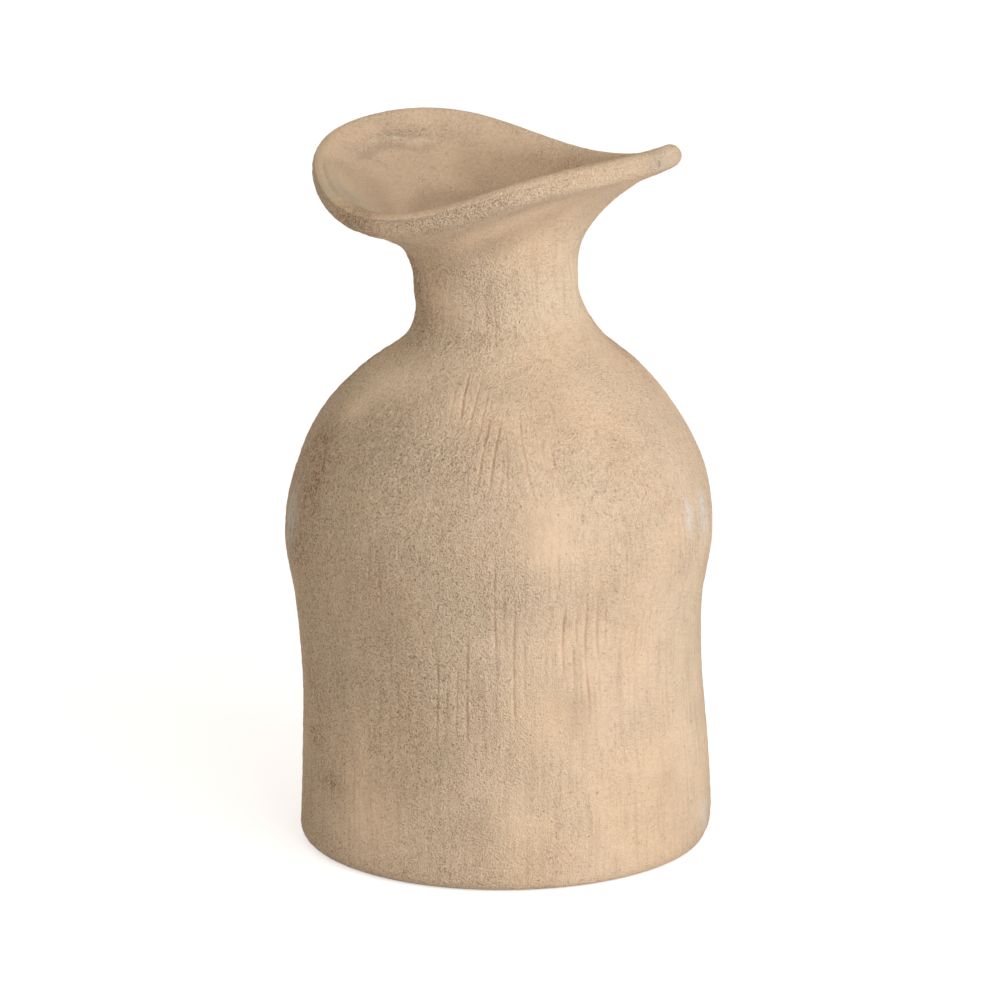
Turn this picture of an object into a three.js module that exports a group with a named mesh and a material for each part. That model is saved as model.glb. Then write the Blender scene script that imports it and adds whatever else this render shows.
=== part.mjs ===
// Stoneware vase, hand built in sections: a base slab, four walls, a flared mouth and a rolled rim
// Millimetres, +Z up, +X to the right and -Y to the front. The origin is on the standing surface,
// under the middle of the belly

import * as THREE from 'three';

const { cos, sin, sqrt, PI } = Math;
const { degToRad, lerp, smoothstep } = THREE.MathUtils;

// Outside of the body, from the standing surface up. Each ring has its rise above the ring below it,
// its radius, and how far its middle leans from the axis towards +X, as hand building leaves it. The
// lower wall is nearly upright, so its rings are drawn in from the foot
const FOOT_RADIUS = 73.4;
const LOWER_WALL_DRAW_IN = 1.2;
const WAIST_DRAW_IN = 2.5;
const BELLY_START_DRAW_IN = 1.4;
const FOOT = { rise: 0, radius: FOOT_RADIUS, lean: 1.9 };
const LOWER_WALL = { rise: 32, radius: FOOT_RADIUS - LOWER_WALL_DRAW_IN, lean: 1.9 };
const WAIST = { rise: 32, radius: FOOT_RADIUS - WAIST_DRAW_IN, lean: 0.7 };
const BELLY_START = { rise: 24, radius: FOOT_RADIUS - BELLY_START_DRAW_IN, lean: -0.2 };
const BELLY = { rise: 24, radius: 75.4, lean: 0 };
const BELLY_END = { rise: 24, radius: 71.3, lean: 0.5 };
const SHOULDER = { rise: 20, radius: 61.1, lean: 0.2 };
const DOME = { rise: 14, radius: 48.3, lean: 1.5 };
const NECK_ROOT = { rise: 10, radius: 35.6, lean: 2.5 };
const NECK = { rise: 10, radius: 29.9, lean: 1.3 };
const THROAT = { rise: 10, radius: 28.7, lean: -0.4 };

// Thickness of the clay, the rounded edge of the base slab, the upright land from there up to its seam,
// and the hollow under it
const WALL = 6;
const FOOT_EDGE_ROUND = 5;
const FOOT_EDGE_LAND = 3;
const BASE_THICKNESS = FOOT_EDGE_ROUND + FOOT_EDGE_LAND;
const FOOT_RING_WIDTH = 16;
const FOOT_HOLLOW_DEPTH = 1.5;
const FOOT_HOLLOW_SLOPE = 3;

// Glaze skin inside, which ends a little below the throat
const LINING_THICKNESS = 0.7;
const LINING_BELOW_THROAT = 3;

// Space between two curved surfaces that face each other
const FIT_GAP = 0.3;

// Middle line of the rolled rim. Its plan is a round about its own middle, and its height is above the
// throat. Waves push both in and out: a wave has its lobes, its swing, and the azimuth of one lobe in
// degrees, anticlockwise from +X
const MOUTH_RADIUS = 59.9;
const MOUTH_SHIFT_X = -0.9;
const MOUTH_SHIFT_Y = 2.8;
const MOUTH_OVAL = { lobes: 2, swing: 1.7, azimuth: -17 };
const MOUTH_THREE_SIDES = { lobes: 3, swing: 1.1, azimuth: 5 };
const MOUTH_FOUR_SIDES = { lobes: 4, swing: 1, azimuth: 43 };
const RIM_HEIGHT = 40.6;
const RIM_TILT = { lobes: 1, swing: 2, azimuth: 21 };
const RIM_SADDLE = { lobes: 2, swing: 7.9, azimuth: 136 };
const RIM_RIPPLE = { lobes: 3, swing: 0.6, azimuth: 100 };
const RIM_FINE_RIPPLE = { lobes: 4, swing: 1.3, azimuth: 6 };

// Rolled rim: the radius of the roll, the land from its round to its seam, and the length of wall along
// which it thins down to the wall
const ROLL_RADIUS = 4;
const ROLL_LAND = 1;
const ROLL_LENGTH = 2 * ROLL_RADIUS + ROLL_LAND;
const ROLL_FADE = 11.6;

// Sweep of the mouth's wall from the throat to the rim, which differs round the mouth: the share of the
// height that it goes straight up, the share of the span that it runs straight to the rim, and its
// slope at the rim in degrees. Each has its mean, its swing, and the azimuth where it is largest
const SWEEP_UP = { mean: 0.41, swing: 0.21, azimuth: 205 };
const SWEEP_OUT = { mean: 0.47, swing: 0.37, azimuth: -33 };
const RIM_SLOPE = { mean: 25.6, swing: 5.4, azimuth: 190 };

// Fineness of the facets: sides round the vase, and rings from seam to seam
const SIDES = 48;
const LOWER_RINGS = 4;
const BELLY_RINGS = 6;
const DOME_RINGS = 7;
const NECK_RINGS = 3;
const MOUTH_RINGS = 9;
const ROLL_RINGS = 8;
const EDGE_RINGS = 4;

// Turn to either side of an azimuth, in radians, that shows which way the mouth's wall runs round
const SMALL_TURN = 0.001;

// Outline of the body, a smooth curve through the rings

const RINGS = [
  FOOT, LOWER_WALL, WAIST, BELLY_START, BELLY, BELLY_END, SHOULDER, DOME, NECK_ROOT, NECK, THROAT,
];

function heightOf(ring) {
  const below = RINGS.slice(0, RINGS.indexOf(ring) + 1);
  return below.reduce((height, { rise }) => height + rise, 0);
}

const WAIST_HEIGHT = heightOf(WAIST);
const BELLY_END_HEIGHT = heightOf(BELLY_END);
const NECK_ROOT_HEIGHT = heightOf(NECK_ROOT);
const THROAT_HEIGHT = heightOf(THROAT);

// Slope of one measure at a ring, from the parabola through it and its two neighbours
function slopeAt(measure, index) {
  const step = (i) => (RINGS[i][measure] - RINGS[i - 1][measure]) / RINGS[i].rise;
  if (index === 0) return step(1);
  if (index === RINGS.length - 1) return 0;
  const below = RINGS[index].rise;
  const above = RINGS[index + 1].rise;
  return (step(index) * above + step(index + 1) * below) / (below + above);
}

// Value and slope of one measure at a height, on the cubic between two rings
function follow(measure, height) {
  let upper = RINGS.findIndex((ring) => ring.rise > 0 && height <= heightOf(ring));
  if (upper < 0) upper = RINGS.length - 1;
  const rise = RINGS[upper].rise;
  const t = (height - heightOf(RINGS[upper - 1])) / rise;
  const start = RINGS[upper - 1][measure];
  const end = RINGS[upper][measure];
  const startSlope = slopeAt(measure, upper - 1) * rise;
  const endSlope = slopeAt(measure, upper) * rise;
  const square = 3 * start - 3 * end + 2 * startSlope + endSlope;
  const cube = 2 * start - 2 * end + startSlope + endSlope;
  const value = start + startSlope * t - square * t ** 2 + cube * t ** 3;
  const slope = (startSlope - 2 * square * t + 3 * cube * t ** 2) / rise;
  return { value, slope };
}

// Radius at a height, a distance inwards from the outside and square to it
function radiusAt(height, inwards = 0) {
  const { value, slope } = follow('radius', height);
  return value - inwards * sqrt(1 + slope ** 2);
}

function heightsBetween(low, high, rings) {
  return Array.from({ length: rings + 1 }, (_, i) => lerp(low, high, i / rings));
}

// Solid of revolution of an outline of [radius, height] points, with each of its rings leaning as the
// body does there
function revolved(outline) {
  const points = outline.map(([radius, height]) => new THREE.Vector2(radius, height));
  const geometry = new THREE.LatheGeometry(points, SIDES).rotateX(PI / 2);
  const position = geometry.getAttribute('position');
  for (let i = 0; i < position.count; i++) {
    position.setX(i, position.getX(i) + follow('lean', position.getZ(i)).value);
  }
  return geometry;
}

// Base slab: a hollow underneath, a foot ring, a rounded edge and a flat top

function baseSlab() {
  const ringInside = FOOT.radius - FOOT_EDGE_ROUND - FOOT_RING_WIDTH;
  const edge = heightsBetween(0, 1, EDGE_RINGS).map((share) => {
    const height = FOOT_EDGE_ROUND * (1 - cos(share * PI / 2));
    return [radiusAt(height) - FOOT_EDGE_ROUND * (1 - sin(share * PI / 2)), height];
  });
  return revolved([
    [0, FOOT_HOLLOW_DEPTH],
    [ringInside - FOOT_HOLLOW_SLOPE, FOOT_HOLLOW_DEPTH],
    [ringInside, 0],
    ...edge,
    [radiusAt(BASE_THICKNESS), BASE_THICKNESS],
    [0, BASE_THICKNESS],
  ]);
}

// Walls: each section of the body stands on the one below it, seam on seam

function wall(heights) {
  const outside = heights.map((height) => [radiusAt(height), height]);
  const inside = heights.map((height) => [radiusAt(height, WALL), height]).reverse();
  return revolved([...outside, ...inside, outside[0]]);
}

const LOWER_HEIGHTS = heightsBetween(BASE_THICKNESS, WAIST_HEIGHT, LOWER_RINGS);
const BELLY_HEIGHTS = heightsBetween(WAIST_HEIGHT, BELLY_END_HEIGHT, BELLY_RINGS);
const DOME_HEIGHTS = heightsBetween(BELLY_END_HEIGHT, NECK_ROOT_HEIGHT, DOME_RINGS);
const NECK_HEIGHTS = heightsBetween(NECK_ROOT_HEIGHT, THROAT_HEIGHT, NECK_RINGS);

// Glaze skin: a thin cup on the slab, inside the walls and with the same rings as they have

function lining() {
  const top = THROAT_HEIGHT - LINING_BELOW_THROAT;
  const seams = [BELLY_HEIGHTS, DOME_HEIGHTS, NECK_HEIGHTS].flatMap((heights) => heights.slice(1));
  const heights = [...LOWER_HEIGHTS, ...seams].filter((height) => height < top);
  heights.push(top);
  const back = WALL + FIT_GAP;
  const face = back + LINING_THICKNESS;
  const floor = BASE_THICKNESS + LINING_THICKNESS;
  const outside = heights.map((height) => [radiusAt(height, back), height]);
  const inside = [floor, ...heights.slice(1)].map((height) => [radiusAt(height, face), height]);
  return revolved([[0, BASE_THICKNESS], ...outside, ...inside.reverse(), [0, floor]]);
}

// Mouth: the middle of its wall is a sweep from the throat to the rim at each azimuth

function waved(waves, azimuth) {
  return waves.reduce(
    (sum, wave) => sum + wave.swing * cos(wave.lobes * (azimuth - degToRad(wave.azimuth))),
    0,
  );
}

function swayed({ mean, swing, azimuth }, at) {
  return mean + swing * cos(at - degToRad(azimuth));
}

function throatPoint(azimuth, inwards) {
  const radius = radiusAt(THROAT_HEIGHT, inwards);
  return new THREE.Vector3(THROAT.lean + radius * cos(azimuth), radius * sin(azimuth), THROAT_HEIGHT);
}

function sweepAt(azimuth) {
  const slope = degToRad(swayed(RIM_SLOPE, azimuth));
  const runOut = new THREE.Vector3(cos(azimuth) * cos(slope), sin(azimuth) * cos(slope), sin(slope));
  const radius = MOUTH_RADIUS + waved([MOUTH_OVAL, MOUTH_THREE_SIDES, MOUTH_FOUR_SIDES], azimuth);
  const rollMiddle = new THREE.Vector3(
    MOUTH_SHIFT_X + radius * cos(azimuth),
    MOUTH_SHIFT_Y + radius * sin(azimuth),
    THROAT_HEIGHT + RIM_HEIGHT + waved([RIM_TILT, RIM_SADDLE, RIM_RIPPLE, RIM_FINE_RIPPLE], azimuth),
  );
  const start = throatPoint(azimuth, WALL / 2);
  const end = rollMiddle.addScaledVector(runOut, ROLL_RADIUS);
  const up = new THREE.Vector3(0, 0, end.z - start.z);
  return new THREE.CubicBezierCurve3(
    start,
    start.clone().addScaledVector(up, swayed(SWEEP_UP, azimuth)),
    end.clone().addScaledVector(runOut, -swayed(SWEEP_OUT, azimuth) * start.distanceTo(end)),
    end,
  );
}

// Half the thickness of the mouth's wall at a distance from the rim's edge: a half round, then the fade
function halfThickness(fromEdge) {
  if (fromEdge < ROLL_RADIUS) return sqrt(ROLL_RADIUS ** 2 - (ROLL_RADIUS - fromEdge) ** 2);
  const thinned = smoothstep(fromEdge, ROLL_RADIUS, ROLL_RADIUS + ROLL_FADE);
  return lerp(ROLL_RADIUS, WALL / 2, thinned);
}

// The sides of the mouth's wall at an azimuth: side is 1 on the outside and -1 on the inside
function mouthPoint(azimuth, fromEdge, side) {
  const sweep = sweepAt(azimuth);
  const t = sweep.getUtoTmapping(1 - fromEdge / sweep.getLength());
  const around = sweepAt(azimuth + SMALL_TURN).getPoint(t).sub(sweepAt(azimuth - SMALL_TURN).getPoint(t));
  const outwards = around.cross(sweep.getTangent(t)).normalize();
  return sweep.getPoint(t).addScaledVector(outwards, side * halfThickness(fromEdge));
}

// Closed ring with the section that a function gives at each azimuth, as points up the outside and down
// the inside
function ringSolid(sectionAt) {
  const sections = Array.from({ length: SIDES }, (_, i) => sectionAt((i / SIDES) * 2 * PI));
  const count = sections[0].length;
  const index = [];
  for (let i = 0; i < SIDES; i++) {
    for (let j = 0; j < count; j++) {
      const here = i * count;
      const next = ((i + 1) % SIDES) * count;
      const above = (j + 1) % count;
      index.push(here + j, next + j, next + above);
      index.push(here + j, next + above, here + above);
    }
  }
  const geometry = new THREE.BufferGeometry().setFromPoints(sections.flat());
  geometry.setIndex(index);
  geometry.computeVertexNormals();
  return geometry;
}

// Flared wall, from its flat seam on the neck to just short of the roll
function mouthFlare() {
  return ringSolid((azimuth) => {
    const length = sweepAt(azimuth).getLength();
    const distances = heightsBetween(length, ROLL_LENGTH + FIT_GAP, MOUTH_RINGS).slice(1);
    const outside = distances.map((fromEdge) => mouthPoint(azimuth, fromEdge, 1));
    const inside = distances.map((fromEdge) => mouthPoint(azimuth, fromEdge, -1)).reverse();
    return [throatPoint(azimuth, 0), ...outside, ...inside, throatPoint(azimuth, WALL)];
  });
}

function rimRoll() {
  return ringSolid((azimuth) => {
    const flanks = [ROLL_LENGTH, (ROLL_LENGTH + ROLL_RADIUS) / 2];
    const edge = heightsBetween(0, PI, ROLL_RINGS).map((turn) => {
      const side = turn > PI / 2 ? -1 : 1;
      return mouthPoint(azimuth, ROLL_RADIUS * (1 - sin(turn)), side);
    });
    return [
      ...flanks.map((fromEdge) => mouthPoint(azimuth, fromEdge, 1)),
      ...edge,
      ...flanks.reverse().map((fromEdge) => mouthPoint(azimuth, fromEdge, -1)),
    ];
  });
}

// Materials

const CLAY = { color: 0xd8bd9a, roughness: 0.9, metalness: 0 };
const GLAZE = { color: 0xb9a285, roughness: 0.35, metalness: 0 };

// Assembly

const vase = new THREE.Group();

function add(name, geometry, look) {
  const mesh = new THREE.Mesh(geometry, new THREE.MeshStandardMaterial(look));
  mesh.name = name;
  vase.add(mesh);
}

add('base_slab', baseSlab(), CLAY);
add('lower_wall', wall(LOWER_HEIGHTS), CLAY);
add('belly_wall', wall(BELLY_HEIGHTS), CLAY);
add('shoulder_dome', wall(DOME_HEIGHTS), CLAY);
add('neck_collar', wall(NECK_HEIGHTS), CLAY);
add('mouth_flare', mouthFlare(), CLAY);
add('rim_roll', rimRoll(), CLAY);
add('glaze_lining', lining(), GLAZE);

export default vase;
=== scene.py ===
# Stoneware vase with a lopsided open mouth, hand built in sections and coated with a sandy slip.
# Shapes are worked out in millimetres, +Z up, +X to the right and -Y to the front, and the finished
# meshes are in metres

import bpy
import numpy as np
from mathutils import Matrix, Vector


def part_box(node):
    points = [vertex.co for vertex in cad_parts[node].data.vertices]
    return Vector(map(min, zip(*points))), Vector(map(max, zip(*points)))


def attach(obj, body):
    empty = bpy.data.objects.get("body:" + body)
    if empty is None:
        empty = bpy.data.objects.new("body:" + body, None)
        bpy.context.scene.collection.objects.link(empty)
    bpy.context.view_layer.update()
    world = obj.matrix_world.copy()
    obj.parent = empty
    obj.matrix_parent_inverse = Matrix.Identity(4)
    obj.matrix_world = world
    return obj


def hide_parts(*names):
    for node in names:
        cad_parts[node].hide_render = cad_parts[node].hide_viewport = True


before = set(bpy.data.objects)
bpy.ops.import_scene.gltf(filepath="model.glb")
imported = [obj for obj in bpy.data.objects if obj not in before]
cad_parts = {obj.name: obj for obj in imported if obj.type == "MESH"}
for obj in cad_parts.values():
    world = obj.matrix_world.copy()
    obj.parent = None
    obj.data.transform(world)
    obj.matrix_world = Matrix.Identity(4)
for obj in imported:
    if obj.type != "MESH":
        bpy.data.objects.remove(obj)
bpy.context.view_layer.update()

MM = 0.001

# Body: height, radius and lean towards +X of each ring of its outside, as in the solids
RINGS = np.array([
    (0, 73.4, 1.9),
    (32, 72.2, 1.9),
    (64, 70.9, 0.7),
    (88, 72.0, -0.2),
    (112, 75.4, 0),
    (136, 71.3, 0.5),
    (156, 61.1, 0.2),
    (170, 48.3, 1.5),
    (180, 35.6, 2.5),
    (190, 29.9, 1.3),
    (200, 28.7, -0.4),
])
RING_HEIGHTS, RING_RADII, RING_LEANS = RINGS.T
WALL = 6
FOOT_EDGE_ROUND = 5
FOOT_RING_WIDTH = 16
FOOT_RING_INSIDE = RING_RADII[0] - FOOT_EDGE_ROUND - FOOT_RING_WIDTH
FOOT_HOLLOW_DEPTH = 1.5
FOOT_HOLLOW_SLOPE = 3
FIT_GAP = 0.3
LINING_THICKNESS = 0.7

# Heights of the seams between the sections, from the frame
BASE_TOP, WAIST, BELLY_END, NECK_ROOT, THROAT = (
    round(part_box(node)[1].z / MM, 3)
    for node in ("base_slab", "lower_wall", "belly_wall", "shoulder_dome", "neck_collar")
)
LINING_TOP = round(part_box("glaze_lining")[1].z / MM, 3)

# Mouth: middle line of the rolled rim as a round with waves, each with its lobes, its swing and the
# azimuth of one lobe in degrees, anticlockwise from +X
MOUTH_RADIUS = 59.9
MOUTH_SHIFT = (-0.9, 2.8)
MOUTH_WAVES = ((2, 1.7, -17), (3, 1.1, 5), (4, 1.0, 43))
RIM_HEIGHT = 40.6
RIM_WAVES = ((1, 2.0, 21), (2, 7.9, 136), (3, 0.6, 100), (4, 1.3, 6))
ROLL_RADIUS = 4
ROLL_LENGTH = 9
ROLL_FADE = 11.6

# Sweep of the mouth's wall: mean, swing and the azimuth where it is largest
SWEEP_UP = (0.41, 0.21, 205)
SWEEP_OUT = (0.47, 0.37, -33)
RIM_SLOPE = (25.6, 5.4, 190)

# Fineness of the clay's surface: sides round the vase, which lie closer together in front by this
# share, and the length of a step from ring to ring
SIDES = 800
FRONT = np.radians(-90)
CLOSER_IN_FRONT = 0.42
STEP = 0.65
MOUTH_STEP = 1.15
HIDDEN_STEP = 6
HOLLOW_RINGS = 9
SLAB_TOP_RADII = (48, 24, 0)
LINING_SIDES = 240
LINING_STEP = 2.5
LINING_SPOKES = 12

# The neck's inner face is part of the skin down to here, and the lining covers it from a little lower
NECK_INSIDE_END = LINING_TOP - 1
NECK_HIDDEN_START = LINING_TOP - 2

# Points that a length along a curve is measured with
OUTLINE_SAMPLES = 400
SWEEP_SAMPLES = 201


def soft_step(values, start, end):
    share = np.clip((values - start) / (end - start), 0, 1)
    return share**2 * (3 - 2 * share)


def between(values, start, full, fading, end):
    """Rises from start to full and falls again from fading to end"""
    return soft_step(values, start, full) * (1 - soft_step(values, fading, end))


# Outline of the body

def slopes_at_rings(values):
    """Slope at each ring, from the parabola through it and its two neighbours, and none at the top"""
    rises = np.diff(RING_HEIGHTS)
    steps = np.diff(values) / rises
    inner = (steps[:-1] * rises[1:] + steps[1:] * rises[:-1]) / (rises[:-1] + rises[1:])
    return np.concatenate([steps[:1], inner, [0]])


def follow(values, heights):
    """Value and slope at some heights of the smooth curve through a value at each ring"""
    heights = np.asarray(heights, float)
    slopes = slopes_at_rings(values)
    low = np.clip(np.searchsorted(RING_HEIGHTS, heights) - 1, 0, len(RING_HEIGHTS) - 2)
    rise = RING_HEIGHTS[low + 1] - RING_HEIGHTS[low]
    t = (heights - RING_HEIGHTS[low]) / rise
    start, end = values[low], values[low + 1]
    start_slope, end_slope = slopes[low] * rise, slopes[low + 1] * rise
    square = 3 * start - 3 * end + 2 * start_slope + end_slope
    cube = 2 * start - 2 * end + start_slope + end_slope
    value = start + start_slope * t - square * t**2 + cube * t**3
    slope = (start_slope - 2 * square * t + 3 * cube * t**2) / rise
    return value, slope


def radius_at(heights, inwards=0):
    radius, slope = follow(RING_RADII, heights)
    return radius - inwards * np.sqrt(1 + slope**2)


def ring(azimuths, radius, height):
    """Points round the body's own middle at one height"""
    lean = follow(RING_LEANS, height)[0]
    level = np.full_like(azimuths, height)
    return np.stack([lean + radius * np.cos(azimuths), radius * np.sin(azimuths), level], -1)


def body_rings(azimuths, heights, inwards=0):
    return [ring(azimuths, radius_at(height, inwards), height) for height in heights]


def even_heights(low, high, step):
    """Heights from low to high with even steps along the outside"""
    fine = np.linspace(low, high, OUTLINE_SAMPLES)
    along = np.concatenate([[0], np.cumsum(np.hypot(np.diff(fine), np.diff(radius_at(fine))))])
    count = int(np.ceil(along[-1] / step))
    return np.interp(np.linspace(0, along[-1], count + 1), along, fine)


# Mouth

def waved(waves, azimuths):
    return sum(swing * np.cos(lobes * (azimuths - np.radians(at))) for lobes, swing, at in waves)


def swayed(sway, azimuths):
    mean, swing, at = sway
    return mean + swing * np.cos(azimuths - np.radians(at))


def sweep_handles(azimuths):
    """The four points of the cubic from the throat to the rim's edge at each azimuth"""
    slope = np.radians(swayed(RIM_SLOPE, azimuths))
    flat = np.zeros_like(azimuths)
    out = np.stack([np.cos(azimuths), np.sin(azimuths), flat], -1)
    up = np.array([0, 0, 1])
    run_out = out * np.cos(slope)[:, None] + up * np.sin(slope)[:, None]
    radius = MOUTH_RADIUS + waved(MOUTH_WAVES, azimuths)
    start = out * (RING_RADII[-1] - WALL / 2) + [RING_LEANS[-1], 0, THROAT]
    height = THROAT + RIM_HEIGHT + waved(RIM_WAVES, azimuths)
    end = out * radius[:, None] + [*MOUTH_SHIFT, 0] + up * height[:, None] + run_out * ROLL_RADIUS
    rise = (end[:, 2] - THROAT) * swayed(SWEEP_UP, azimuths)
    reach = np.linalg.norm(end - start, axis=-1) * swayed(SWEEP_OUT, azimuths)
    return start, start + up * rise[:, None], end - run_out * reach[:, None], end


def sweep(azimuths, t):
    """Point of the middle of the mouth's wall, with t from 0 at the throat to 1 at the rim's edge"""
    a, b, c, d = sweep_handles(azimuths)
    t = t[:, None]
    return (1 - t)**3 * a + 3 * (1 - t)**2 * t * b + 3 * (1 - t) * t**2 * c + t**3 * d


def sweep_lengths(azimuths):
    """Length along the sweep at each of even values of t, for each azimuth"""
    ts = np.linspace(0, 1, SWEEP_SAMPLES)
    points = np.array([sweep(azimuths, np.full_like(azimuths, t)) for t in ts])
    steps = np.linalg.norm(np.diff(points, axis=0), axis=-1)
    return ts, np.concatenate([np.zeros((1, len(azimuths))), np.cumsum(steps, 0)])


def half_thickness(from_edge):
    """A half round at the rim's edge, then the fade to the wall"""
    thinned = soft_step(from_edge, ROLL_RADIUS, ROLL_RADIUS + ROLL_FADE)
    past = ROLL_RADIUS + (WALL / 2 - ROLL_RADIUS) * thinned
    rounded = np.sqrt(np.maximum(ROLL_RADIUS**2 - (ROLL_RADIUS - from_edge)**2, 0))
    return np.where(from_edge < ROLL_RADIUS, rounded, past)


class Mouth:
    """Rings of the mouth's two sides at distances from the rim's edge along the sweep"""

    def __init__(self, azimuths):
        self.azimuths = azimuths
        self.ts, self.along = sweep_lengths(azimuths)
        self.lengths = self.along[-1]

    def ring(self, from_edge, side):
        wanted = self.lengths - from_edge
        t = np.array([np.interp(w, column, self.ts) for w, column in zip(wanted, self.along.T)])
        small = 0.001
        turned = sweep(self.azimuths + small, t) - sweep(self.azimuths - small, t)
        before, after = np.clip(t - small, 0, 1), np.clip(t + small, 0, 1)
        tangent = sweep(self.azimuths, after) - sweep(self.azimuths, before)
        outwards = np.cross(turned, tangent)
        outwards /= np.linalg.norm(outwards, axis=-1)[:, None]
        thick = half_thickness(from_edge + np.zeros_like(t))
        return sweep(self.azimuths, t) + outwards * side * thick[:, None]


# Noise with a fixed seed, from -1 to 1, that runs smoothly through space

NOISE_CELLS = 48
NOISE_SHIFT = 7.3
NOISE_TURN = np.array(Matrix.Rotation(0.6, 3, Vector((1, 0.7, 0.4))))


def noise(points, size, seed):
    table = np.random.RandomState(seed).uniform(-1, 1, (NOISE_CELLS,) * 3)
    size = np.broadcast_to(size, 3)
    places = (points / size) @ NOISE_TURN + seed * NOISE_SHIFT
    cell = np.floor(places).astype(int)
    part = places - cell
    part = part**3 * (part * (part * 6 - 15) + 10)
    total = 0
    for corner in np.ndindex(2, 2, 2):
        share = np.prod(np.where(corner, part, 1 - part), axis=-1)
        index = (cell + corner) % NOISE_CELLS
        total = total + share * table[index[..., 0], index[..., 1], index[..., 2]]
    return total


def layered(points, *layers):
    """Sum of noises, each with its strength, size and seed"""
    return sum(strength * noise(points, size, seed) for strength, size, seed in layers)


# The clay's whole surface as one grid of rings: up the outside from the foot ring, over the rim and
# down the inside to the foot of the neck. The sections are cut from it, so they meet without a step

turn = np.linspace(0, 2 * np.pi, SIDES + 1)[:-1]
AZIMUTHS = turn - CLOSER_IN_FRONT * np.sin(turn - FRONT)
ROLL_SEAM = ROLL_LENGTH + FIT_GAP / 2
mouth = Mouth(AZIMUTHS)

skin_rings = []
skin_from_edge = []
skin_seams = {"foot": 0}
FAR = 1000


def add_rings(rings, from_edge=None):
    skin_rings.extend(rings)
    skin_from_edge.extend(from_edge if from_edge is not None else [np.full(SIDES, FAR)] * len(rings))


def mark_seam(name):
    skin_seams[name] = len(skin_rings) - 1


edge_turns = np.linspace(0, np.pi / 2, int(FOOT_EDGE_ROUND * np.pi / 2 / STEP) + 1)
edge_heights = FOOT_EDGE_ROUND * (1 - np.cos(edge_turns))
edge_radii = radius_at(edge_heights) - FOOT_EDGE_ROUND * (1 - np.sin(edge_turns))
add_rings([ring(AZIMUTHS, radius, height) for radius, height in zip(edge_radii, edge_heights)])
for low, high, name in (
    (FOOT_EDGE_ROUND, BASE_TOP, "base_top"),
    (BASE_TOP, WAIST, "waist"),
    (WAIST, BELLY_END, "belly_end"),
    (BELLY_END, NECK_ROOT, "neck_root"),
    (NECK_ROOT, THROAT, "throat"),
):
    add_rings(body_rings(AZIMUTHS, even_heights(low, high, STEP)[1:]))
    mark_seam(name)

flare_steps = int(mouth.lengths.max() / MOUTH_STEP)
flare_shares = np.linspace(0, 1, flare_steps + 1)
flare_distances = [mouth.lengths + (ROLL_SEAM - mouth.lengths) * share for share in flare_shares]
roll_turns = np.linspace(0, np.pi / 2, int(ROLL_RADIUS * np.pi / 2 / STEP) + 1)
roll_flank = np.linspace(ROLL_SEAM, ROLL_RADIUS, int((ROLL_SEAM - ROLL_RADIUS) / STEP) + 1)[1:]
roll_distances = [*roll_flank, *(ROLL_RADIUS * (1 - np.sin(roll_turns)))[1:]]
roll_distances = [np.full(SIDES, distance) for distance in roll_distances]

add_rings([mouth.ring(d, 1) for d in flare_distances[1:]], flare_distances[1:])
mark_seam("roll_outside")
add_rings([mouth.ring(d, 1) for d in roll_distances], roll_distances)
back_over = [*roll_distances[-2::-1], flare_distances[-1]]
add_rings([mouth.ring(d, -1) for d in back_over], back_over)
mark_seam("roll_inside")
rim_row = skin_seams["roll_outside"] + len(roll_distances)
down = flare_distances[-2::-1]
add_rings([mouth.ring(d, -1) for d in down], down)
mark_seam("throat_inside")
neck_inside = even_heights(NECK_INSIDE_END, THROAT, STEP)[-2::-1]
add_rings(body_rings(AZIMUTHS, neck_inside, WALL))
mark_seam("neck_inside_end")

skin = np.array(skin_rings)
from_edge = np.array(skin_from_edge)
inside = np.arange(len(skin))[:, None] > rim_row


def grid_normals(grid):
    """Outward normals of a grid of rings, from the neighbours of each point"""
    along = np.gradient(grid, axis=0)
    around = np.roll(grid, -1, axis=1) - np.roll(grid, 1, axis=1)
    normals = np.cross(around, along)
    return normals / np.linalg.norm(normals, axis=-1)[..., None]


# Places on the skin, in millimetres: across is the distance round the vase from an azimuth, and
# past_edge is the distance from the rim's edge, which counts up on the inside and down on the outside

skin_height = skin[..., 2]
skin_radius = np.hypot(skin[..., 0], skin[..., 1])
past_edge = np.where(inside, from_edge, -from_edge)


def across(azimuth):
    away = AZIMUTHS - np.radians(azimuth)
    return ((away + np.pi) % (2 * np.pi) - np.pi) * skin_radius


def spots(places, heights=skin_height):
    """Sum of soft oval spots, each with its azimuth, height, half width, half height and strength"""
    total = np.zeros_like(skin_height)
    for azimuth, height, half_width, half_height, strength in places:
        away = (across(azimuth) / half_width)**2 + ((heights - height) / half_height)**2
        total += strength * np.exp(-away)
    return total


# Grooves that a toothed scraper left: azimuth and height of the top, azimuth and height of the bottom,
# and depth

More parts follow.
